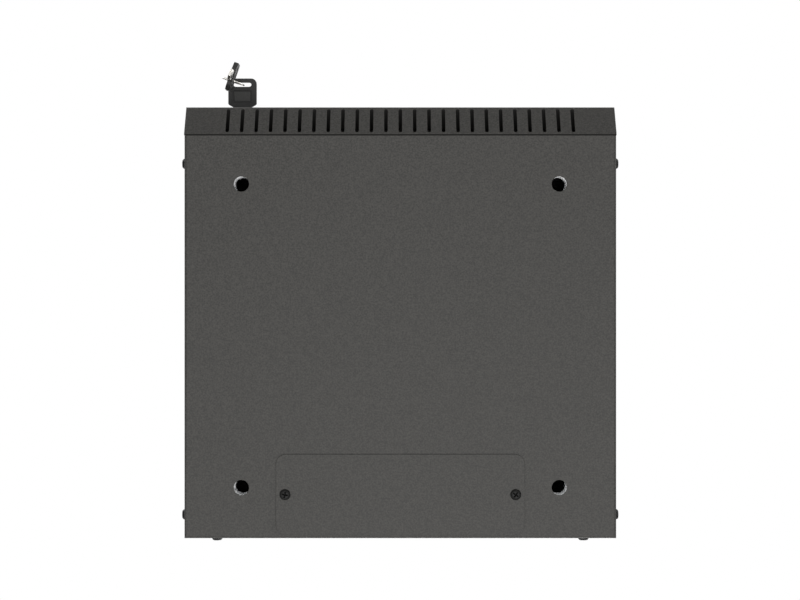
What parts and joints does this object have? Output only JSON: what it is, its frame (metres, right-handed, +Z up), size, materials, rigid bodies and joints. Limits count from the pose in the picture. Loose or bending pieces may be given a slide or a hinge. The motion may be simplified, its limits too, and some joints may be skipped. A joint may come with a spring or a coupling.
{
  "type": "wall mount network cabinet",
  "caption": "Ten inch wall mount network cabinet: folded black steel case with vented sloping bezels, glazed locking door with keys, cable entries and sliding rack rails.",
  "frame": {"origin": "centre of the four wall holes, on the outer face of the rear panel", "axes": "+Z up, +Y into the wall, so the door faces -Y; +X to the right seen from the front, where the hinges are"},
  "size_m": [0.3168, 0.3551, 0.2572],
  "materials": {
    "black_powder_coat": "fine textured powder coat",
    "black_screw": "black zinc, satin",
    "zinc_plated_steel": "bright zinc plate",
    "yellow_zinc": "yellow passivated zinc",
    "black_rubber": "matt",
    "tinted_glass": "smoked toughened glass",
    "chrome_lock": "polished chrome",
    "black_key_plastic": "satin moulded",
    "nickel": "nickel plate"
  },
  "bodies": {
    "cabinet": {"bottom_panel": "black_powder_coat", "top_panel": "black_powder_coat", "left_side_panel": "black_powder_coat", "right_side_panel": "black_powder_coat", "rear_panel": "black_powder_coat", "bottom_vent_bezel": "black_powder_coat", "top_vent_bezel": "black_powder_coat", "left_door_post": "black_powder_coat", "right_door_post": "black_powder_coat", "bottom_cable_cover": "black_powder_coat", "top_cable_cover": "black_powder_coat", "bottom_cover_screws": "black_screw", "top_cover_screws": "black_screw", "side_screws": "black_screw", "rear_screws": "black_screw", "foot_nuts": "zinc_plated_steel", "rear_cable_edging": "black_rubber", "bar_left_upper": "zinc_plated_steel", "bar_left_lower": "zinc_plated_steel", "bar_right_upper": "zinc_plated_steel", "bar_right_lower": "zinc_plated_steel", "earth_stud": "yellow_zinc", "earth_nut": "zinc_plated_steel", "door_bumpers": "black_rubber"},
    "door": {"door_frame": "black_powder_coat", "door_glass": "tinted_glass", "glass_gasket": "black_rubber", "glass_clips": "zinc_plated_steel", "glass_clip_nuts": "zinc_plated_steel", "door_earth_stud": "yellow_zinc", "door_earth_nut": "zinc_plated_steel", "hinge_bracket": "zinc_plated_steel", "hinge_pin_lower": "zinc_plated_steel", "lock_body": "chrome_lock", "lock_nut": "chrome_lock"},
    "hinge_pin": {"hinge_pin_upper": "zinc_plated_steel", "hinge_spring": "zinc_plated_steel"},
    "lock_core": {"lock_plug": "chrome_lock", "lock_cam": "chrome_lock", "cam_screw": "chrome_lock"},
    "key": {"key_head": "black_key_plastic", "key_blade": "nickel"},
    "ring": {"key_ring": "nickel"},
    "spare_key": {"spare_key_head": "black_key_plastic", "spare_key_blade": "nickel"},
    "rail_left": {"left_rail": "zinc_plated_steel", "left_rail_screws": "zinc_plated_steel", "left_rail_nuts": "zinc_plated_steel"},
    "rail_right": {"right_rail": "zinc_plated_steel", "right_rail_screws": "zinc_plated_steel", "right_rail_nuts": "zinc_plated_steel"}
  },
  "joints": [
    {"name": "door_hinge", "type": "hinge", "parent": "cabinet", "child": "door", "pos_m": [0.151, -0.3054, 0], "axis": [0, 0, 1], "range_deg": [0, 120]},
    {"name": "hinge_pin_release", "type": "slide", "parent": "door", "child": "hinge_pin", "axis": [0, 0, -1], "range_m": [0, 0.006], "stiffness_N_per_m": 400, "springref_m": -0.006, "deforming": ["hinge_spring"]},
    {"name": "lock_turn", "type": "hinge", "parent": "door", "child": "lock_core", "pos_m": [-0.1214, 0, 0], "axis": [0, 1, 0], "range_deg": [0, 90]},
    {"name": "key_pull", "type": "slide", "parent": "lock_core", "child": "key", "axis": [0, -1, 0], "range_m": [0, 0.03]},
    {"name": "ring_swing", "type": "hinge", "parent": "key", "child": "ring", "pos_m": [-0.1284, -0.3388, -0.0055], "axis": [-0.3338, 0.9426, 0], "range_deg": [-30, 30]},
    {"name": "spare_key_swing", "type": "hinge", "parent": "ring", "child": "spare_key", "pos_m": [-0.1284, -0.3388, -0.0145], "axis": [0.9426, 0.3338, 0], "range_deg": [-25, 25]},
    {"name": "left_rail_slide", "type": "slide", "parent": "cabinet", "child": "rail_left", "axis": [0, 1, 0], "range_m": [0, 0.09]},
    {"name": "right_rail_slide", "type": "slide", "parent": "cabinet", "child": "rail_right", "axis": [0, 1, 0], "range_m": [0, 0.09]}
  ]
}
